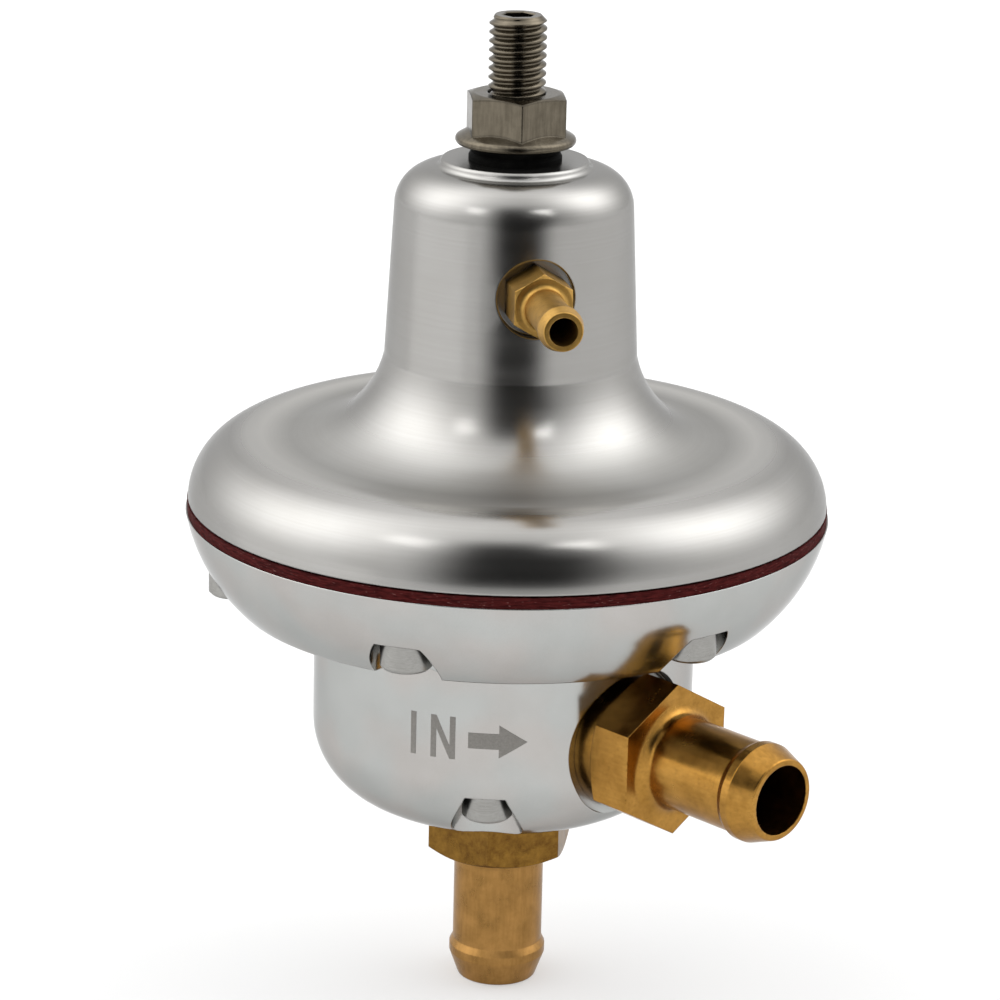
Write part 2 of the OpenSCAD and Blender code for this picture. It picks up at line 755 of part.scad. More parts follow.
module valve_seat() {
    spigot_z = outlet_seat_z + tail_thread_len + joint_clearance;
    lip_r = seat_bore_r + seat_land;
    color(BRASS)
    rotate_extrude()
        polygon([[seat_bore_r, spigot_z], [seat_spigot_r, spigot_z], [seat_spigot_r, floor_z],
            [seat_foot_r, floor_z], [seat_foot_r, floor_z + seat_foot_t], [nozzle_r, floor_z + seat_foot_t],
            [nozzle_r, pad_z - seat_cone], [lip_r, pad_z], [seat_bore_r, pad_z]]);
}

// Hose tail along +Z, with the face of its collar at zero
module hose_tail(both_ends) {
    hex_end = tail_collar_len + tail_hex_len;
    difference() {
        union() {
            translate([0, 0, -tail_thread_len])
                cylinder(r = tail_thread_r, h = tail_thread_len + over);
            cylinder(r = tail_collar_r, h = tail_collar_len + over);
            translate([0, 0, tail_collar_len])
                turned_hex(tail_af, tail_hex_len, tail_collar_r, both_ends);
            translate([0, 0, hex_end])
                barbed_shank(tail_len, tail_shank_r, tail_fillet_r, tail_barb_r, tail_land, tail_nose, tail_end_r,
                    tail_edge_r);
        }
        translate([0, 0, -tail_thread_len - over])
            cylinder(r = tail_bore_r, h = tail_thread_len + hex_end + tail_len + 2 * over);
    }
}

module inlet_tail() {
    color(BRASS)
    translate([inlet_seat, 0, inlet_z])
        outwards()
            hose_tail(false);
}

module outlet_tail() {
    color(BRASS)
    translate([0, 0, outlet_seat_z])
        rotate([180, 0, outlet_turn])
            hose_tail(true);
}

module vacuum_tail() {
    color(BRASS)
    rotate(vac_turn)
    translate([vac_seat, 0, vac_z])
    outwards()
    difference() {
        union() {
            translate([0, 0, -vac_thread_len])
                cylinder(r = vac_thread_r, h = vac_thread_len + over);
            turned_hex(vac_af, vac_hex_len, vac_af / 2, true);
            translate([0, 0, vac_hex_len])
                barbed_shank(vac_len, vac_shank_r, vac_fillet_r, vac_barb_r, vac_land, vac_nose, vac_end_r,
                    vac_edge_r);
        }
        translate([0, 0, -vac_thread_len - over])
            cylinder(r = vac_bore_r, h = vac_thread_len + vac_hex_len + vac_len + 2 * over);
    }
}

module rim_screws() {
    color(STEEL)
    on_rim()
        translate([0, 0, rim_seat_z])
            cap_screw(rim_screw_len);
}

module base_screws() {
    color(STEEL)
    on_base()
        translate([0, 0, base_seat_z])
            cap_screw(base_screw_len);
}

bell_cover();
flange_plate();
base_cup();
upper_diaphragm();
lower_diaphragm();
adjusting_screw();
lock_nut();
sealing_washer();
spring_seat();
main_spring();
spring_plate();
backing_plate();
stem();
stem_nut();
stem_washer();
valve_disc();
valve_pad();
valve_seat();
inlet_tail();
outlet_tail();
vacuum_tail();
rim_screws();
base_screws();
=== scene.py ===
"""Looks of the fuel pressure regulator: metals, rubber, the screw's thread, the flow mark, the studio."""

import contextlib
import math

import bmesh
import bpy
from mathutils import Matrix, Vector


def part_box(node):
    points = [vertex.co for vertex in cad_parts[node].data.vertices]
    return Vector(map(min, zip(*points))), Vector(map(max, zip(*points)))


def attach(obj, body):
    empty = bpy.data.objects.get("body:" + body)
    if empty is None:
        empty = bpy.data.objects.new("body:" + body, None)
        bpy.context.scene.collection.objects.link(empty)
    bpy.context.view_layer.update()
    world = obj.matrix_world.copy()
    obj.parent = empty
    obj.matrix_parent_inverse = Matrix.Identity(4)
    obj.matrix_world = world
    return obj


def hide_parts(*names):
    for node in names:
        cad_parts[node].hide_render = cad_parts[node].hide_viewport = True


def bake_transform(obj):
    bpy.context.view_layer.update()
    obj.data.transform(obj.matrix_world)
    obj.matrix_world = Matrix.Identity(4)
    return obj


MM = 0.001
UP = (0.0, 0.0, 1.0)
ZERO = (0.0, 0.0, 0.0)

# Camera: where the photograph was taken from
CAMERA_TURN = math.radians(-43.5)
CAMERA_REACH = 0.53216
CAMERA_RISE = 0.16293
CAMERA_YAW = -0.0019194
CAMERA_PITCH = 0.2979076
CAMERA_ROLL = 0.0231086
CLIP_START = 0.01
SENSOR_WIDTH = 36.0
IMAGE_WIDTH = 1000.0
FOCAL_PIXELS = 3913.95

# Levels and sizes of the object that the looks need
PARTING_Z = 68.8 * MM
INLET_Z = 39.2 * MM
OUTLET_END_Z = -4.2 * MM
OUTLET_HEX_Z = 15.4 * MM
VACUUM_Z = 102.0 * MM
VACUUM_TURN = math.radians(-32.0)
BASE_R = 27.3 * MM
OBJECT_MIDDLE = Vector((0.0, 0.0, 66.0 * MM))
QUARTER_TURN = 90.0

# Distances below which points are one and edges have no length
MERGE = 1e-7
NO_LENGTH = 1e-8

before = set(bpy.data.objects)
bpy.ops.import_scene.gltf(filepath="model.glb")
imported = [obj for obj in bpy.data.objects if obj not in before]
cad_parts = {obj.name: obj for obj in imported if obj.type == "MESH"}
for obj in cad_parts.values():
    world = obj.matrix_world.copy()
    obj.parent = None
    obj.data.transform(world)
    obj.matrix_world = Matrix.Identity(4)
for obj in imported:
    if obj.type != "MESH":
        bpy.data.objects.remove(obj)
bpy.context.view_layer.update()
scene = bpy.context.scene


@contextlib.contextmanager
def editing(mesh):
    """Points, edges and faces of a mesh, which go back into it when the edit ends."""
    work = bmesh.new()
    work.from_mesh(mesh)
    yield work
    work.to_mesh(mesh)
    work.free()


def link_object(name, data):
    """A new object in the scene."""
    obj = bpy.data.objects.new(name, data)
    scene.collection.objects.link(obj)
    return obj


def mesh_from(name, points, faces):
    """A smooth mesh from points and faces, with doubled points merged."""
    mesh = bpy.data.meshes.new(name)
    mesh.from_pydata(points, [], faces)
    with editing(mesh) as work:
        bmesh.ops.remove_doubles(work, verts=work.verts, dist=MERGE)
        bmesh.ops.dissolve_degenerate(work, edges=work.edges, dist=NO_LENGTH)
        bmesh.ops.recalc_face_normals(work, faces=work.faces)
        for face in work.faces:
            face.smooth = True
    return mesh


def toward(right, up):
    """Direction from the object, in degrees right of the camera and up."""
    turn = CAMERA_TURN + math.radians(right)
    rise = math.radians(up)
    return Vector((math.cos(turn) * math.cos(rise), math.sin(turn) * math.cos(rise), math.sin(rise)))


def make_camera():
    yaw_s, yaw_c = math.sin(CAMERA_YAW), math.cos(CAMERA_YAW)
    pitch_s, pitch_c = math.sin(CAMERA_PITCH), math.cos(CAMERA_PITCH)
    roll_s, roll_c = math.sin(CAMERA_ROLL), math.cos(CAMERA_ROLL)
    ahead = Vector((yaw_s * pitch_c, yaw_c * pitch_c, -pitch_s))
    level_right = Vector((yaw_c, -yaw_s, 0.0))
    level_up = Vector((yaw_s * pitch_s, yaw_c * pitch_s, pitch_c))
    right = level_right * roll_c + level_up * roll_s
    up = level_up * roll_c - level_right * roll_s
    spin = Matrix.Rotation(CAMERA_TURN + math.pi / 2.0, 3, "Z")
    basis = Matrix((spin @ right, spin @ up, spin @ -ahead)).transposed()
    place = spin @ Vector((0.0, -CAMERA_REACH, 0.0)) + Vector((0.0, 0.0, PARTING_Z + CAMERA_RISE))
    data = bpy.data.cameras.new("camera")
    data.sensor_width = SENSOR_WIDTH
    data.lens = FOCAL_PIXELS / IMAGE_WIDTH * SENSOR_WIDTH
    data.clip_start = CLIP_START
    camera = link_object("camera", data)
    camera.matrix_world = Matrix.Translation(place) @ basis.to_4x4()
    scene.camera = camera


# Nodes of the materials
WHOLE = (0.0, 1.0)
REVERSED = (1.0, 0.0)
METAL = 1.0
NO_METAL = 0.0
PLAIN_SPECULAR = 0.5
NOISE_DETAIL = 3.0
NOISE_ROUGH = 0.5
# Sockets of a mix of colours
MIX_FIRST = 6
MIX_SECOND = 7
MIX_RESULT = 2
NODE_SAMPLES = 8
EDGE_SPAN = (0.93, 0.998)
# Painted shade: the dark tone laid into sheltered places and onto dark steel edges, and the openness over
# which it fades in
PAINTED_SHADE = (0.020, 0.018, 0.015)
SHELTER_SPAN = (0.15, 0.65)


def node(tree, kind, inputs=None, **settings):
    """A node with its settings, and its inputs set to numbers or linked to sockets."""
    made = tree.nodes.new("ShaderNode" + kind)
    for key, value in settings.items():
        setattr(made, key, value)
    for key, value in (inputs or {}).items():
        if isinstance(value, bpy.types.NodeSocket):
            tree.links.new(value, made.inputs[key])
        else:
            made.inputs[key].default_value = value
    return made


def maths(tree, operation, first, second):
    return node(tree, "Math", {0: first, 1: second}, operation=operation).outputs[0]


def vector_maths(tree, operation, first, second):
    return node(tree, "VectorMath", {0: first, 1: second}, operation=operation).outputs[0]


def dot(tree, first, second):
    return node(tree, "VectorMath", {0: first, 1: second}, operation="DOT_PRODUCT").outputs["Value"]


def weigh(tree, first, second, share):
    """The first value by its share, and the second by the rest."""
    rest = maths(tree, "MULTIPLY", second, 1.0 - share)
    return maths(tree, "ADD", maths(tree, "MULTIPLY", first, share), rest)


def object_place(tree):
    return node(tree, "TexCoord").outputs["Object"]


def lathe(tree, origin, axis):
    """Distance along an axis and distance from it, at each point of a turned piece."""
    offset = vector_maths(tree, "SUBTRACT", object_place(tree), origin)
    across = vector_maths(tree, "CROSS_PRODUCT", offset, axis)
    radius = node(tree, "VectorMath", {0: across}, operation="LENGTH").outputs["Value"]
    return dot(tree, offset, axis), radius


def noise(tree, place, size, detail=NOISE_DETAIL, rough=NOISE_ROUGH, dimensions="3D"):
    inputs = {"Vector": place, "Scale": 1.0 / size, "Detail": detail, "Roughness": rough}
    return node(tree, "TexNoise", inputs, noise_dimensions=dimensions).outputs[0]


def rings(tree, origin, axis, pitch):
    """Turning lines round an axis."""
    along, radius = lathe(tree, origin, axis)
    pair = node(tree, "CombineXYZ", {0: along, 1: radius}).outputs[0]
    return noise(tree, pair, pitch, dimensions="2D")


def streaks(tree, stretch, size, detail):
    """Noise drawn out along the axes by their stretch."""
    return noise(tree, vector_maths(tree, "MULTIPLY", object_place(tree), stretch), size, detail)


def remap(tree, value, span, ends=WHOLE):
    """A value whose span becomes the range between two ends."""
    low, high = span
    to_low, to_high = ends
    inputs = {"Value": value, "From Min": low, "From Max": high, "To Min": to_low, "To Max": to_high}
    return node(tree, "MapRange", inputs, clamp=True).outputs[0]


def band(tree, radius, edges):
    """One between the second and third of four radii, and zero inside the first and outside the last."""
    start, full, fading, end = edges
    inside = remap(tree, radius, (start, full))
    return maths(tree, "MINIMUM", inside, remap(tree, radius, (fading, end), REVERSED))


def blend_colour(tree, share, first, second):
    """A colour between two, by a share from 0 to 1."""
    mixed = node(tree, "Mix", {0: share}, data_type="RGBA")
    for key, value in ((MIX_FIRST, first), (MIX_SECOND, second)):
        if isinstance(value, bpy.types.NodeSocket):
            tree.links.new(value, mixed.inputs[key])
        else:
            mixed.inputs[key].default_value = (*value, 1.0)
    return mixed.outputs[MIX_RESULT]


def shade(tree, value, span, tones):
    """A colour between two tones, as a value goes through a span."""
    return blend_colour(tree, remap(tree, value, span), *tones)


def bump(tree, height, distance, under=None):
    inputs = {"Strength": 1.0, "Distance": distance, "Height": height}
    if under is not None:
        inputs["Normal"] = under
    return node(tree, "Bump", inputs).outputs[0]


def start_material(name, metallic, specular=PLAIN_SPECULAR, edge_tint=1.0):
    """A material whose metal, if it is one, is tinted where it is seen edge on."""
    made = bpy.data.materials.new(name)
    made.use_nodes = True
    shader = made.node_tree.nodes["Principled BSDF"]
    shader.inputs["Metallic"].default_value = metallic
    shader.inputs["Specular IOR Level"].default_value = specular
    shader.inputs["Specular Tint"].default_value = (edge_tint, edge_tint, edge_tint, 1.0)
    return made, made.node_tree, shader


def rounded(tree, radius):
    """Normal of a surface whose edges are rounded by a radius."""
    return node(tree, "Bevel", {"Radius": radius}, samples=NODE_SAMPLES).outputs[0]


def rounded_edge_share(tree, soft):
    """Share of the rounded edges: one on them and zero on the flats, where brass wears and steel gets
    painted shade.
    """
    flat = node(tree, "NewGeometry").outputs["Normal"]
    return remap(tree, dot(tree, soft, flat), EDGE_SPAN, REVERSED)


def sheltered_shade(tree, colour, reach, share):
    """A colour darkened by painted shade where the surface is sheltered within a reach."""
    open_share = node(tree, "AmbientOcclusion", {"Distance": reach}, samples=NODE_SAMPLES).outputs["AO"]
    return blend_colour(tree, remap(tree, open_share, SHELTER_SPAN, (share, 0.0)), colour, PAINTED_SHADE)


def dress(tree, shader, colour, roughness, normal):
    for key, value in (("Base Color", colour), ("Roughness", roughness), ("Normal", normal)):
        tree.links.new(value, shader.inputs[key])


# Looks: a noise is given by its size, detail and roughness, painted shade in sheltered places by reach and
# share, and tones dark first
NOISE_SPAN = (0.3, 0.7)
ALLOY_EDGE_TINT = 0.64

BELL_TONES = ((0.310, 0.303, 0.288), (0.345, 0.340, 0.328))
BELL_LINES = 0.35 * MM
BELL_LINE_SHARE = 0.3
BELL_LINE_DEPTH = 0.0010 * MM
BELL_BANDS = 2.5 * MM
BELL_CLOUD = (14.0 * MM, NOISE_DETAIL, NOISE_ROUGH)
BELL_ROUGH = (0.22, 0.26)
BELL_EDGE_R = 0.4 * MM
BELL_SHELTER_SHADE = (3.0 * MM, 0.25)
# Radii of the dish between the neck and the rim, which is rougher, and of its outer wall, which is made
# paler with painted light
DISH_RADII = (22.0 * MM, 27.0 * MM, 35.0 * MM, 38.5 * MM)
DISH_ROUGH = 0.20
WALL_RADII = (31.0 * MM, 35.0 * MM, 37.0 * MM, 39.5 * MM)
WALL_LIGHT_SHARE = 0.8
WALL_LIGHT_TONE = (0.500, 0.490, 0.470)


def turned_alloy():
    """Bright turned aluminium with fine lines round the axis, painted light on the dish's outer wall and
    painted shade in sheltered places.
    """
    made, tree, shader = start_material("bell_turned_alloy", METAL, edge_tint=ALLOY_EDGE_TINT)
    fine = rings(tree, ZERO, UP, BELL_LINES)
    broad = rings(tree, ZERO, UP, BELL_BANDS)
    cloud = noise(tree, object_place(tree), *BELL_CLOUD)
    colour = shade(tree, weigh(tree, fine, cloud, BELL_LINE_SHARE), NOISE_SPAN, BELL_TONES)
    radius = lathe(tree, ZERO, UP)[1]
    wall = maths(tree, "MULTIPLY", band(tree, radius, WALL_RADII), WALL_LIGHT_SHARE)
    # Painted light makes the dish's outer wall paler, and painted shade darkens sheltered places
    colour = sheltered_shade(tree, blend_colour(tree, wall, colour, WALL_LIGHT_TONE), *BELL_SHELTER_SHADE)
    dish = maths(tree, "MULTIPLY", band(tree, radius, DISH_RADII), DISH_ROUGH)
    rough = maths(tree, "ADD", remap(tree, broad, NOISE_SPAN, BELL_ROUGH), dish)
    dress(tree, shader, colour, rough, bump(tree, fine, BELL_LINE_DEPTH, rounded(tree, BELL_EDGE_R)))
    return made


BODY_WARM = ((0.410, 0.394, 0.376), (0.456, 0.440, 0.422))
BODY_COOL = ((0.396, 0.404, 0.392), (0.440, 0.448, 0.436))
BODY_GRAIN = (0.22 * MM, 2.0, NOISE_ROUGH)
BODY_GRAIN_SHARE = 0.3
BODY_GRAIN_DEPTH = 0.002 * MM
BODY_CLOUD = (7.0 * MM, NOISE_DETAIL, NOISE_ROUGH)
BODY_TINT = (11.0 * MM, 1.0, NOISE_ROUGH)
BODY_TINT_SPAN = (0.40, 0.60)
BODY_ROUGH = (0.13, 0.18)
BODY_EDGE_R = 0.25 * MM
BODY_SHELTER_SHADE = (4.0 * MM, 0.9)


def satin_alloy():
    """Smooth pale aluminium with faint stains and painted shade in its pockets."""
    made, tree, shader = start_material("body_satin_alloy", METAL, edge_tint=ALLOY_EDGE_TINT)
    place = object_place(tree)
    grain = noise(tree, place, *BODY_GRAIN)
    cloud = noise(tree, place, *BODY_CLOUD)
    tint = noise(tree, place, *BODY_TINT)
    tone = weigh(tree, grain, cloud, BODY_GRAIN_SHARE)
    warm = shade(tree, tone, NOISE_SPAN, BODY_WARM)
    cool = shade(tree, tone, NOISE_SPAN, BODY_COOL)
    # Painted shade darkens the pockets and other sheltered places
    colour = sheltered_shade(tree, shade(tree, tint, BODY_TINT_SPAN, (warm, cool)), *BODY_SHELTER_SHADE)
    rough = remap(tree, cloud, NOISE_SPAN, BODY_ROUGH)
    dress(tree, shader, colour, rough, bump(tree, grain, BODY_GRAIN_DEPTH, rounded(tree, BODY_EDGE_R)))
    return made


BRASS_EDGE_TINT = 0.8
BRASS_LINES = 0.30 * MM
BRASS_LINE_SHARE = 0.25
BRASS_LINE_DEPTH = 0.0012 * MM
BRASS_DRAWN = (0.45 * MM, 3.0)
BRASS_CLOUD = (3.5 * MM, 4.0, 0.6)
BRASS_SPECK = (0.6 * MM, 3.0, 0.7)
BRASS_SPAN = (0.36, 0.64)
BRASS_EDGE_R = 0.20 * MM
BRASS_SHELTER_SHADE = (2.5 * MM, 0.2)
STAIN = (0.10, 0.052, 0.012)
STAIN_SPAN = (0.52, 0.75)
STAIN_ROUGH = 0.06
TARNISH_TONES = ((0.100, 0.046, 0.009), (0.235, 0.125, 0.023))
TARNISH_NOISE = (1.8 * MM, 5.0, 0.75)
TARNISH_SPAN = (0.34, 0.66)
TARNISH_FADE = 0.4 * MM
TARNISH_SHARE = 0.9
RUBBED = (0.62, 0.42, 0.14)
RUBBED_SPAN = (0.40, 0.55)
RUBBED_SHARE = 0.08
NICKED = (0.07, 0.035, 0.010)
NICKED_SPAN = (0.52, 0.60)
NICKED_SHARE = 0.65


def turned_brass(name, origin, axis, tones, patina, roughness, drawn=None, tarnish_from=None):
    """Machined brass with turned or drawn lines, stains, nicked edges and, from a place on, tarnish."""
    made, tree, shader = start_material(name, METAL, edge_tint=BRASS_EDGE_TINT)
    place = object_place(tree)
    fine = streaks(tree, drawn, *BRASS_DRAWN) if drawn else rings(tree, origin, axis, BRASS_LINES)
    cloud = noise(tree, place, *BRASS_CLOUD)
    speck = noise(tree, place, *BRASS_SPECK)
    colour = shade(tree, weigh(tree, fine, cloud, BRASS_LINE_SHARE), BRASS_SPAN, tones)
    stain = maths(tree, "MULTIPLY", remap(tree, speck, STAIN_SPAN), patina)
    colour = blend_colour(tree, stain, colour, STAIN)
    if tarnish_from is not None:
        along = lathe(tree, origin, axis)[0]
        brown = shade(tree, noise(tree, place, *TARNISH_NOISE), TARNISH_SPAN, TARNISH_TONES)
        aged = remap(tree, along, (tarnish_from, tarnish_from + TARNISH_FADE), (0.0, TARNISH_SHARE))
        colour = blend_colour(tree, aged, colour, brown)
    soft = rounded(tree, BRASS_EDGE_R)
    wear = rounded_edge_share(tree, soft)
    rubbed = maths(tree, "MULTIPLY", wear, remap(tree, speck, RUBBED_SPAN, (RUBBED_SHARE, 0.0)))
    nicked = maths(tree, "MULTIPLY", wear, remap(tree, speck, NICKED_SPAN, (0.0, NICKED_SHARE)))
    colour = blend_colour(tree, nicked, blend_colour(tree, rubbed, colour, RUBBED), NICKED)
    # Painted shade darkens sheltered places
    colour = sheltered_shade(tree, colour, *BRASS_SHELTER_SHADE)
    stain_rough = maths(tree, "MULTIPLY", stain, STAIN_ROUGH)
    rough = maths(tree, "ADD", remap(tree, cloud, NOISE_SPAN, roughness), stain_rough)
    dress(tree, shader, colour, rough, bump(tree, fine, BRASS_LINE_DEPTH, soft))
    return made


STEEL_EDGE_TINT = 0.75
STEEL_LINES = 0.25 * MM
STEEL_LINE_SHARE = 0.5
STEEL_LINE_DEPTH = 0.0008 * MM
STEEL_DRAWN = (0.40 * MM, 3.0)
STEEL_CLOUD = (2.0 * MM, 4.0, 0.6)
STEEL_SPAN = (0.35, 0.65)
STEEL_SHELTER_SHADE = (2.0 * MM, 0.7)


def bright_steel(name, tones, roughness, edge_r, drawn=None, edge_shade=0.0):
    """Drawn or turned steel with fine lines, faint stains and rounded edges, with painted shade in
    sheltered places and, by a share, on the rounded edges.
    """
    made, tree, shader = start_material(name, METAL, edge_tint=STEEL_EDGE_TINT)
    fine = streaks(tree, drawn, *STEEL_DRAWN) if drawn else rings(tree, ZERO, UP, STEEL_LINES)
    cloud = noise(tree, object_place(tree), *STEEL_CLOUD)
    colour = shade(tree, weigh(tree, fine, cloud, STEEL_LINE_SHARE), STEEL_SPAN, tones)
    # Painted shade darkens sheltered places
    colour = sheltered_shade(tree, colour, *STEEL_SHELTER_SHADE)
    soft = rounded(tree, edge_r)
    # Painted shade: the rounded edges darkened by a share, as dark lines along them
    colour = blend_colour(tree, maths(tree, "MULTIPLY", rounded_edge_share(tree, soft), edge_shade), colour, PAINTED_SHADE)
    rough = remap(tree, cloud, NOISE_SPAN, roughness)
    dress(tree, shader, colour, rough, bump(tree, fine, STEEL_LINE_DEPTH, soft))
    return made


BLACK_TONES = ((0.002, 0.002, 0.002), (0.006, 0.006, 0.0055))
BLACK_SPAN = (0.35, 0.7)
BLACK_GRAIN = (0.2 * MM, NOISE_DETAIL, NOISE_ROUGH)
BLACK_GRAIN_DEPTH = 0.02 * MM
BLACK_CLOUD = (2.5 * MM, NOISE_DETAIL, NOISE_ROUGH)
BLACK_ROUGH = (0.45, 0.65)
BLACK_SPECULAR = 0.015


def moulded_rubber():
    """Black moulded rubber with a dusty bloom."""
    made, tree, shader = start_material("black_rubber_moulded", NO_METAL, BLACK_SPECULAR)
    grain = noise(tree, object_place(tree), *BLACK_GRAIN)
    cloud = noise(tree, object_place(tree), *BLACK_CLOUD)
    colour = shade(tree, cloud, BLACK_SPAN, BLACK_TONES)
    rough = remap(tree, grain, NOISE_SPAN, BLACK_ROUGH)
    dress(tree, shader, colour, rough, bump(tree, grain, BLACK_GRAIN_DEPTH))
    return made


SHEET_TONES = ((0.026, 0.0035, 0.0036), (0.066, 0.0100, 0.0096))
SHEET_SPAN = (0.35, 0.65)
SHEET_CLOUD = (4.0 * MM, NOISE_DETAIL, NOISE_ROUGH)
SHEET_ROUGH = (0.65, 0.85)
SHEET_DEPTH = 0.12 * MM
SHEET_SPECULAR = 0.03
LAYER_STRETCH = (1.0, 1.0, 7.0)
LAYER = (1.6 * MM, 4.0)
LAYER_SHARE = 0.6
THREAD_STRETCH = (1.0, 1.0, 4.0)
THREAD = (0.8 * MM, 2.0)
THREAD_SPAN = (0.64, 0.72)
THREAD_SHARE = 0.40
THREAD_TONE = (0.24, 0.11, 0.10)


def fabric_rubber():
    """Maroon rubber sheet on cloth, whose cut edge shows pale threads."""
    made, tree, shader = start_material("red_rubber_fabric", NO_METAL, SHEET_SPECULAR)
    layer = streaks(tree, LAYER_STRETCH, *LAYER)
    thread = remap(tree, streaks(tree, THREAD_STRETCH, *THREAD), THREAD_SPAN)
    cloud = noise(tree, object_place(tree), *SHEET_CLOUD)
    colour = shade(tree, layer, SHEET_SPAN, SHEET_TONES)
    colour = blend_colour(tree, maths(tree, "MULTIPLY", thread, THREAD_SHARE), colour, THREAD_TONE)
    rough = remap(tree, cloud, NOISE_SPAN, SHEET_ROUGH)
    dress(tree, shader, colour, rough, bump(tree, weigh(tree, layer, thread, LAYER_SHARE), SHEET_DEPTH))
    return made


ETCHED_TONES = ((0.195, 0.186, 0.172), (0.245, 0.235, 0.218))
ETCHED_GRAIN = (0.25 * MM, NOISE_DETAIL, NOISE_ROUGH)
ETCHED_GRAIN_DEPTH = 0.010 * MM
ETCHED_ROUGH = (0.65, 0.85)
ETCHED_SPECULAR = 0.1


def etched_grey():
    """Dull grey of a mark etched into the alloy."""
    made, tree, shader = start_material("etched_mark", NO_METAL, ETCHED_SPECULAR)
    grain = noise(tree, object_place(tree), *ETCHED_GRAIN)
    colour = shade(tree, grain, NOISE_SPAN, ETCHED_TONES)
    rough = remap(tree, grain, NOISE_SPAN, ETCHED_ROUGH)
    dress(tree, shader, colour, rough, bump(tree, grain, ETCHED_GRAIN_DEPTH))
    return made


# Brass: where each tail lies, its tones, stain and roughness, and the stretch of its drawn lines
INLET_AXIS = (1.0, 0.0, 0.0)
INLET_PLACE = (0.0, 0.0, INLET_Z)
INLET_TONES = ((0.28, 0.138, 0.027), (0.42, 0.220, 0.049))
INLET_STAIN = 0.25
INLET_ROUGH = (0.20, 0.28)
INLET_DRAWN = (0.10, 1.0, 1.0)
OUTLET_TONES = ((0.27, 0.144, 0.042), (0.41, 0.220, 0.068))
OUTLET_STAIN = 0.10
OUTLET_ROUGH = (0.26, 0.34)
OUTLET_DRAWN = (1.0, 1.0, 0.12)
VACUUM_AXIS = (math.cos(VACUUM_TURN), math.sin(VACUUM_TURN), 0.0)
VACUUM_PLACE = (0.0, 0.0, VACUUM_Z)
VACUUM_TONES = ((0.36, 0.208, 0.052), (0.49, 0.292, 0.080))
VACUUM_STAIN = 0.3
VACUUM_ROUGH = (0.36, 0.46)
VALVE_STAIN = 0.3
VALVE_ROUGH = (0.24, 0.34)

# Steel: tones, roughness and the radius of its edges
NUT_TONES = ((0.090, 0.077, 0.057), (0.150, 0.130, 0.098))
NUT_ROUGH = (0.17, 0.26)
NUT_EDGE_R = 0.40 * MM
NUT_DRAWN = (1.0, 1.0, 0.10)
# Share of painted shade on the nut's rounded edges
NUT_EDGE_SHADE = 0.65
BOLT_ROUGH = (0.16, 0.24)
BOLT_EDGE_R = 0.06 * MM
CAP_TONES = ((0.27, 0.265, 0.250), (0.33, 0.325, 0.310))
CAP_ROUGH = (0.26, 0.34)
CAP_EDGE_R = 0.30 * MM
WIRE_TONES = ((0.12, 0.12, 0.125), (0.20, 0.20, 0.20))
WIRE_ROUGH = (0.25, 0.40)
WIRE_EDGE_R = 0.10 * MM

bell_look = turned_alloy()
body_look = satin_alloy()
inlet_look = turned_brass(
    "brass_inlet", INLET_PLACE, INLET_AXIS, INLET_TONES, INLET_STAIN, INLET_ROUGH, INLET_DRAWN
)
outlet_look = turned_brass(
    "brass_outlet", ZERO, UP, OUTLET_TONES, OUTLET_STAIN, OUTLET_ROUGH, OUTLET_DRAWN, OUTLET_HEX_Z
)
vacuum_look = turned_brass(
    "brass_vacuum", VACUUM_PLACE, VACUUM_AXIS, VACUUM_TONES, VACUUM_STAIN, VACUUM_ROUGH
)
valve_look = turned_brass("brass_valve", ZERO, UP, INLET_TONES, VALVE_STAIN, VALVE_ROUGH)
nut_look = bright_steel("stainless_nut", NUT_TONES, NUT_ROUGH, NUT_EDGE_R, NUT_DRAWN, NUT_EDGE_SHADE)
bolt_look = bright_steel("stainless_thread", NUT_TONES, BOLT_ROUGH, BOLT_EDGE_R)
cap_look = bright_steel("stainless_cap_screws", CAP_TONES, CAP_ROUGH, CAP_EDGE_R)
wire_look = bright_steel("spring_steel_wire", WIRE_TONES, WIRE_ROUGH, WIRE_EDGE_R)
black_look = moulded_rubber()
red_look = fabric_rubber()
mark_look = etched_grey()

LOOKS = {
    "bell_cover": bell_look,
    "flange_plate": body_look,
    "base_cup": body_look,
    "upper_diaphragm": red_look,
    "lower_diaphragm": red_look,
    "adjusting_screw": bolt_look,
    "lock_nut": nut_look,
    "sealing_washer": black_look,
    "spring_seat": cap_look,
    "main_spring": wire_look,
    "spring_plate": cap_look,
    "backing_plate": cap_look,
    "stem": cap_look,
    "stem_nut": cap_look,
    "stem_washer": cap_look,
    "valve_disc": valve_look,
    "valve_pad": black_look,
    "valve_seat": valve_look,
    "inlet_tail": inlet_look,
    "outlet_tail": outlet_look,
    "vacuum_tail": vacuum_look,
    "rim_screws": cap_look,
    "base_screws": cap_look,
}

for name, look in LOOKS.items():
    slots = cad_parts[name].data.materials
    slots.clear()
    slots.append(look)


# Pieces that stand in for a CAD piece, joined up so that their curves shade as one surface
def sharpen(obj, degrees):
    """Marks the edges that are sharper than an angle, so that the rest shades smoothly."""
    limit = math.radians(degrees)
    with editing(obj.data) as work:
        for edge in work.edges:
            edge.smooth = len(edge.link_faces) != 2 or edge.calc_face_angle() < limit


def smooth_copy(source_name, label, degrees):
    """A copy of a piece, joined up and shaded smoothly up to an angle."""
    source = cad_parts[source_name]
    points = [source.matrix_world @ point.co for point in source.data.vertices]
    faces = [tuple(face.vertices) for face in source.data.polygons]
    mesh = mesh_from(label, points, faces)
    mesh.materials.append(LOOKS[source_name])
    obj = link_object(label, mesh)
    sharpen(obj, degrees)
    return obj


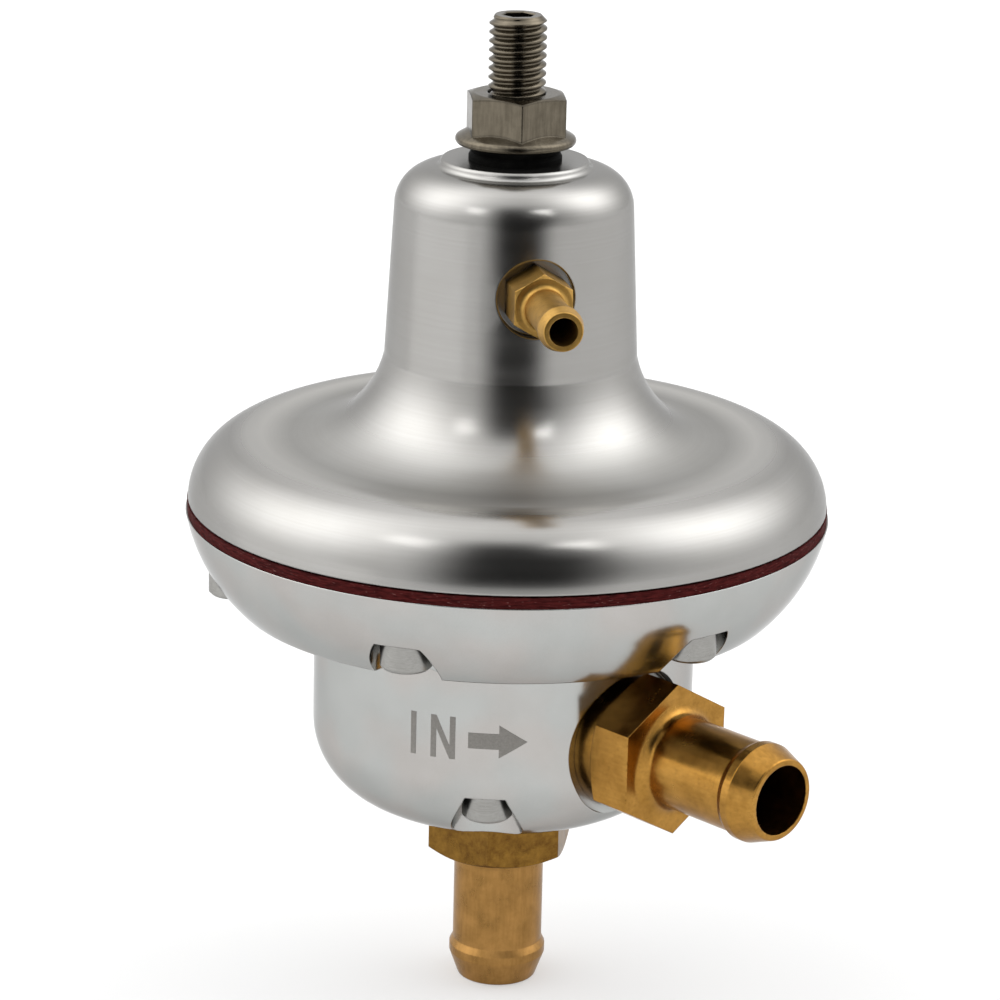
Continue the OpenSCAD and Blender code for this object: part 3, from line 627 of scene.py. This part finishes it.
# Turned bodies: name, slot, and the angle up to which they are smooth
BODIES = (
    ("bell_cover", "bell_alloy", 10.5),
    ("flange_plate", "body_alloy", 16.0),
    ("base_cup", "body_alloy", 16.0),
)


def make_bodies():
    for source_name, slot, degrees in BODIES:
        body = smooth_copy(source_name, source_name + "_smooth", degrees)
        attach(body, "housing")
        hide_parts(source_name)


# Main spring in two lengths, cut at a share of its height
SPRING_CUT_SHARE = 0.22
SPRING_SHARP = 50.0


def spring_length(label, level, above):
    """The spring above or below a level."""
    obj = smooth_copy("main_spring", label, SPRING_SHARP)
    cut = {"plane_co": (0.0, 0.0, level), "plane_no": UP, "clear_inner": above, "clear_outer": not above}
    with editing(obj.data) as work:
        bmesh.ops.bisect_plane(work, geom=work.verts[:] + work.edges[:] + work.faces[:], **cut)
    return obj


def make_spring():
    low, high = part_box("main_spring")
    cut = low[2] + (high[2] - low[2]) * SPRING_CUT_SHARE
    lower = spring_length("main_spring_lower", cut, False)
    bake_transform(lower)
    upper = spring_length("main_spring_upper", cut, True)
    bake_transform(upper)
    for piece in (lower, upper):
        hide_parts("main_spring")


# Diaphragms in two parts that meet on the crest of the rolled ring
SHEET_SHARP = 40.0
# Name, radius of the crest, level of the crest's underside and level of the flat sheet's top
SHEETS = (
    ("upper_diaphragm", 28.4 * MM, 70.5 * MM, 68.8 * MM),
    ("lower_diaphragm", 12.5 * MM, 54.7 * MM, 54.3 * MM),
)


def sheet_part(source_name, label, crest_r, inside):
    """The faces of a diaphragm inside or outside the crest of its rolled ring."""
    obj = smooth_copy(source_name, label, SHEET_SHARP)
    with editing(obj.data) as work:
        others = []
        for face in work.faces:
            middle = face.calc_center_median()
            if (math.hypot(middle.x, middle.y) < crest_r) != inside:
                others.append(face)
        bmesh.ops.delete(work, geom=others, context="FACES")
    return obj


def make_sheets():
    for source_name, crest_r, crest_z, flat_z in SHEETS:
        outer = sheet_part(source_name, source_name + "_rim", crest_r, False)
        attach(outer, "housing")
        inner = sheet_part(source_name, source_name + "_middle", crest_r, True)
        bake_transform(inner)
        for piece in (outer, inner):
            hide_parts(source_name)


# Adjusting screw with its thread and its key socket
SCREW_R = 4.0 * MM
SCREW_PITCH = 1.25 * MM
SCREW_DEPTH = 0.60 * MM
SCREW_CHAMFER = 0.8 * MM
SCREW_SIDES = 72
SCREW_SHARP = 32.0
SPARE_TURNS = 2
KEY_AF = 4.0 * MM
KEY_DEPTH = 5.0 * MM
KEY_MOUTH = 0.3 * MM
KEY_MOUTH_DEPTH = 0.15 * MM
KEY_POINT = 0.8 * MM
# Share of a pitch and share of the thread's depth, from one crest to the next
THREAD_FORM = (
    (0.0, 0.0),
    (0.07, 0.0),
    (0.11, 0.08),
    (0.37, 0.90),
    (0.42, 1.0),
    (0.58, 1.0),
    (0.63, 0.90),
    (0.89, 0.08),
    (0.93, 0.0),
)


def loop_of(points, z, radius_at):
    """A loop of points round the axis, at a radius that depends on the turn."""
    start = len(points)
    for side in range(SCREW_SIDES):
        turn = 2.0 * math.pi * side / SCREW_SIDES
        r = radius_at(turn)
        points.append((r * math.cos(turn), r * math.sin(turn), z))
    return list(range(start, start + SCREW_SIDES))


def ring(points, r, z):
    """A loop of points on a circle."""
    return loop_of(points, z, lambda turn: r)


def hexagon(points, width, z):
    """A loop of points on a hexagon that is so wide across its flats."""
    sixth = math.pi / 3.0
    return loop_of(points, z, lambda turn: width / 2.0 / math.cos(turn % sixth - sixth / 2.0))


def join(faces, first, second):
    """Faces between two loops."""
    for k in range(SCREW_SIDES):
        n = (k + 1) % SCREW_SIDES
        faces.append((first[k], first[n], second[n], second[k]))


def thread_faces(points, tip_z, top_z):
    """Puts the points of the thread, and returns the faces between them."""
    turns = int((top_z - tip_z) / SCREW_PITCH) + SPARE_TURNS
    levels = [(turn + share, depth) for turn in range(-1, turns) for share, depth in THREAD_FORM]
    for level, depth in levels:
        for side in range(SCREW_SIDES):
            share = side / SCREW_SIDES
            z = min(max(tip_z + (level + share) * SCREW_PITCH, tip_z), top_z)
            room = SCREW_R - SCREW_CHAMFER + min(z - tip_z, top_z - z, SCREW_CHAMFER)
            r = min(SCREW_R - SCREW_DEPTH * depth, room)
            turn = 2.0 * math.pi * share
            points.append((r * math.cos(turn), r * math.sin(turn), z))
    faces = []
    rows = len(levels)
    form = len(THREAD_FORM)
    for row in range(rows - 1):
        for side in range(SCREW_SIDES - 1):
            here = row * SCREW_SIDES + side
            faces.append((here, here + 1, here + 1 + SCREW_SIDES, here + SCREW_SIDES))
        # The last side meets the first one a whole pitch higher
        if row + form + 1 < rows:
            here = row * SCREW_SIDES + SCREW_SIDES - 1
            start = (row + form) * SCREW_SIDES
            faces.append((here, start, start + SCREW_SIDES, here + SCREW_SIDES))
    return faces


def threaded_screw():
    low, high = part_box("adjusting_screw")
    tip_z, top_z = low[2], high[2]
    points = []
    faces = thread_faces(points, tip_z, top_z)
    end_r = SCREW_R - SCREW_CHAMFER
    rim = ring(points, end_r, top_z)
    mouth = hexagon(points, KEY_AF + KEY_MOUTH, top_z)
    edge = hexagon(points, KEY_AF, top_z - KEY_MOUTH_DEPTH)
    floor = hexagon(points, KEY_AF, top_z - KEY_DEPTH)
    foot = ring(points, end_r, tip_z)
    for first, second in ((rim, mouth), (mouth, edge), (edge, floor)):
        join(faces, first, second)
    for loop, z in ((floor, top_z - KEY_DEPTH - KEY_POINT), (foot, tip_z)):
        points.append((0.0, 0.0, z))
        middle = len(points) - 1
        faces.extend((loop[k], loop[(k + 1) % SCREW_SIDES], middle) for k in range(SCREW_SIDES))
    mesh = mesh_from("adjusting_screw_thread", points, faces)
    mesh.materials.append(bolt_look)
    obj = link_object("adjusting_screw_thread", mesh)
    sharpen(obj, SCREW_SHARP)
    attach(obj, "screw")
    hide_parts("adjusting_screw")


# Flow mark on the base, two letters and an arrow: degrees from the inlet, and millimetres up
MARK_LOW = 38.9
MARK_HIGH = 45.1
MARK_MIDDLE = 41.9
MARK_LIFT = 0.02 * MM
MARK_STEPS = 10
STROKE = 1.7
I_MIDDLE = -70.0
N_LEFT = -64.5
N_RIGHT = -57.0
N_SLOPE = 1.9
ARROW_TAIL = -53.2
ARROW_HEAD = -44.2
ARROW_TIP = -36.0
SHAFT_HALF = 1.15
WING_HALF = 2.43
TIP_HALF = 0.02


def mark_point(angle, height):
    turn = math.radians(angle)
    r = BASE_R + MARK_LIFT
    return (r * math.cos(turn), r * math.sin(turn), height * MM)


def mark_strip(points, faces, low_edge, high_edge):
    """A strip between two straight edges, each from point to point, that follows the base's curve."""
    start = len(points)
    for step in range(MARK_STEPS + 1):
        share = step / MARK_STEPS
        for first, last in (low_edge, high_edge):
            points.append(mark_point(*(a + (b - a) * share for a, b in zip(first, last))))
    for step in range(MARK_STEPS):
        here = start + 2 * step
        faces.append((here, here + 2, here + 3, here + 1))


def flow_mark():
    half = STROKE / 2.0
    inner_left = N_LEFT + STROKE
    inner_right = N_RIGHT - STROKE
    points = []
    faces = []
    uprights = ((I_MIDDLE - half, I_MIDDLE + half), (N_LEFT, inner_left), (inner_right, N_RIGHT))
    for left, right in uprights:
        low_edge = ((left, MARK_LOW), (right, MARK_LOW))
        high_edge = ((left, MARK_HIGH), (right, MARK_HIGH))
        mark_strip(points, faces, low_edge, high_edge)
    low_edge = ((inner_left, MARK_HIGH - N_SLOPE), (inner_right, MARK_LOW))
    high_edge = ((inner_left, MARK_HIGH), (inner_right, MARK_LOW + N_SLOPE))
    mark_strip(points, faces, low_edge, high_edge)
    shaft = (ARROW_TAIL, SHAFT_HALF, ARROW_HEAD, SHAFT_HALF)
    tip = (ARROW_HEAD, WING_HALF, ARROW_TIP, TIP_HALF)
    for start, start_half, end, end_half in (shaft, tip):
        low_edge = ((start, MARK_MIDDLE - start_half), (end, MARK_MIDDLE - end_half))
        high_edge = ((start, MARK_MIDDLE + start_half), (end, MARK_MIDDLE + end_half))
        mark_strip(points, faces, low_edge, high_edge)
    mesh = mesh_from("flow_mark", points, faces)
    mesh.materials.append(mark_look)
    obj = link_object("flow_mark", mesh)
    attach(obj, "housing")


# Studio: a white room with a white table, two lamps, and cards that show in the metal
FLOOR_HALF = 4.0
FLOOR_SHADE = 0.50
FLOOR_GLOW = 0.33
# Soft glows of the room, and one shade: degrees right of the camera and up, strength over white, sharpness
GLOWS = (
    (-97.0, 41.0, 2.2, 6.0),
    (104.0, 44.0, 2.6, 9.0),
    (-145.0, 70.0, 0.45, 10.0),
    (34.0, 22.0, -0.55, 12.0),
)
# Lamps: name, degrees right of the camera, degrees up, distance, width, height and radiance
LAMPS = (
    ("left_lamp", -38.5, 48.3, 0.150, 0.030, 0.030, 1.6),
    ("right_lamp", 29.3, 49.5, 0.145, 0.028, 0.034, 3.0),
)
# Black card in front of the neck, which fades out at its edges: metres ahead of the axis, aside and up
BLACK_AHEAD = 0.085
BLACK_CORNERS = ((-0.055, 0.055), (0.120, 0.055), (0.120, 0.285), (-0.055, 0.285))
CARD_BLACK = 0.01
FADE_LEFT = (-0.050, -0.010)
FADE_RIGHT = (0.066, 0.022)
FADE_LOW = (0.059, 0.073)
FADE_HIGH = (0.280, 0.150)
FADE_LEAN = 0.25
FADE_LEAN_Z = 0.090
# White card at the left: direction, metres from the axis, half width, height and glow
WHITE_RIGHT = -72.0
WHITE_AWAY = 0.25
WHITE_HALF = 0.14
WHITE_HIGH = 0.10
WHITE_GLOW = 1.5


def soft_box(name, right, up, distance, width, height, radiance):
    """A lamp that looks at the object."""
    data = bpy.data.lights.new(name, "AREA")
    data.shape = "RECTANGLE"
    data.size = width
    data.size_y = height
    data.energy = radiance * math.pi * width * height
    light = link_object(name, data)
    place = OBJECT_MIDDLE + toward(right, up) * distance
    turn = (OBJECT_MIDDLE - place).to_track_quat("-Z", "Y").to_matrix().to_4x4()
    light.matrix_world = Matrix.Translation(place) @ turn
    light.visible_camera = False


def stage_card(name, corners, material):
    mesh = bpy.data.meshes.new(name)
    mesh.from_pydata(corners, [], [(0, 1, 2, 3)])
    mesh.materials.append(material)
    obj = link_object(name, mesh)
    return obj


def mirror_card(name, right, away, corners, material):
    """A card that only shows in the metal: its corners are metres aside and up, away from the axis."""
    ahead = toward(right, 0.0) * away
    aside = toward(right + QUARTER_TURN, 0.0)
    card = stage_card(name, [ahead + aside * x + Vector((0.0, 0.0, z)) for x, z in corners], material)
    card.visible_camera = False
    card.visible_diffuse = False
    card.visible_shadow = False


def dull_material(name, grey):
    made, tree, shader = start_material(name, NO_METAL, specular=0.0)
    shader.inputs["Base Color"].default_value = (grey, grey, grey, 1.0)
    shader.inputs["Roughness"].default_value = 1.0
    return made, tree, shader


def glowing_white(name, grey, glow):
    made, _, shader = dull_material(name, grey)
    shader.inputs["Emission Color"].default_value = (1.0, 1.0, 1.0, 1.0)
    shader.inputs["Emission Strength"].default_value = glow
    return made


def fading_black():
    """Black that fades out towards the edges of the card in front of the neck."""
    made, tree, shader = dull_material("card_black", CARD_BLACK)
    place = object_place(tree)
    aside = dot(tree, place, toward(QUARTER_TURN, 0.0))
    height = dot(tree, place, UP)
    lean = maths(tree, "MULTIPLY", maths(tree, "SUBTRACT", height, FADE_LEAN_Z), FADE_LEAN)
    leaning = maths(tree, "SUBTRACT", aside, lean)
    fades = ((aside, FADE_LEFT), (leaning, FADE_RIGHT), (height, FADE_LOW), (height, FADE_HIGH))
    cover = 1.0
    for value, (clear, black) in fades:
        inputs = {"Value": value, "From Min": clear, "From Max": black, "To Min": 0.0, "To Max": 1.0}
        fade = node(tree, "MapRange", inputs, clamp=True, interpolation_type="SMOOTHSTEP").outputs[0]
        cover = maths(tree, "MULTIPLY", cover, fade)
    tree.links.new(cover, shader.inputs["Alpha"])
    return made


def make_room():
    """White all round, with broad glows where the soft lights stand."""
    world = bpy.data.worlds.new("white_room")
    world.use_nodes = True
    tree = world.node_tree
    way = node(tree, "TexCoord").outputs["Generated"]
    level = 1.0
    for right, up, strength, sharpness in GLOWS:
        near = dot(tree, way, toward(right, up))
        glow = maths(tree, "POWER", maths(tree, "MAXIMUM", near, 0.0), sharpness)
        level = maths(tree, "ADD", level, maths(tree, "MULTIPLY", glow, strength))
    back = tree.nodes["Background"]
    back.inputs["Color"].default_value = (1.0, 1.0, 1.0, 1.0)
    tree.links.new(level, back.inputs["Strength"])
    scene.world = world


def make_studio():
    make_room()
    half, low = FLOOR_HALF, OUTLET_END_Z
    sides = [(-half, -half, low), (half, -half, low), (half, half, low), (-half, half, low)]
    stage_card("floor", sides, glowing_white("floor_white", FLOOR_SHADE, FLOOR_GLOW))
    mirror_card("black_card", 0.0, BLACK_AHEAD, BLACK_CORNERS, fading_black())
    corners = ((-WHITE_HALF, low), (WHITE_HALF, low), (WHITE_HALF, WHITE_HIGH), (-WHITE_HALF, WHITE_HIGH))
    white = glowing_white("card_white", 0.0, WHITE_GLOW)
    mirror_card("white_card", WHITE_RIGHT, WHITE_AWAY, corners, white)
    for lamp in LAMPS:
        soft_box(*lamp)


make_bodies()
make_spring()
make_sheets()
threaded_screw()
flow_mark()
make_camera()
make_studio()
scene.view_settings.view_transform = "Standard"
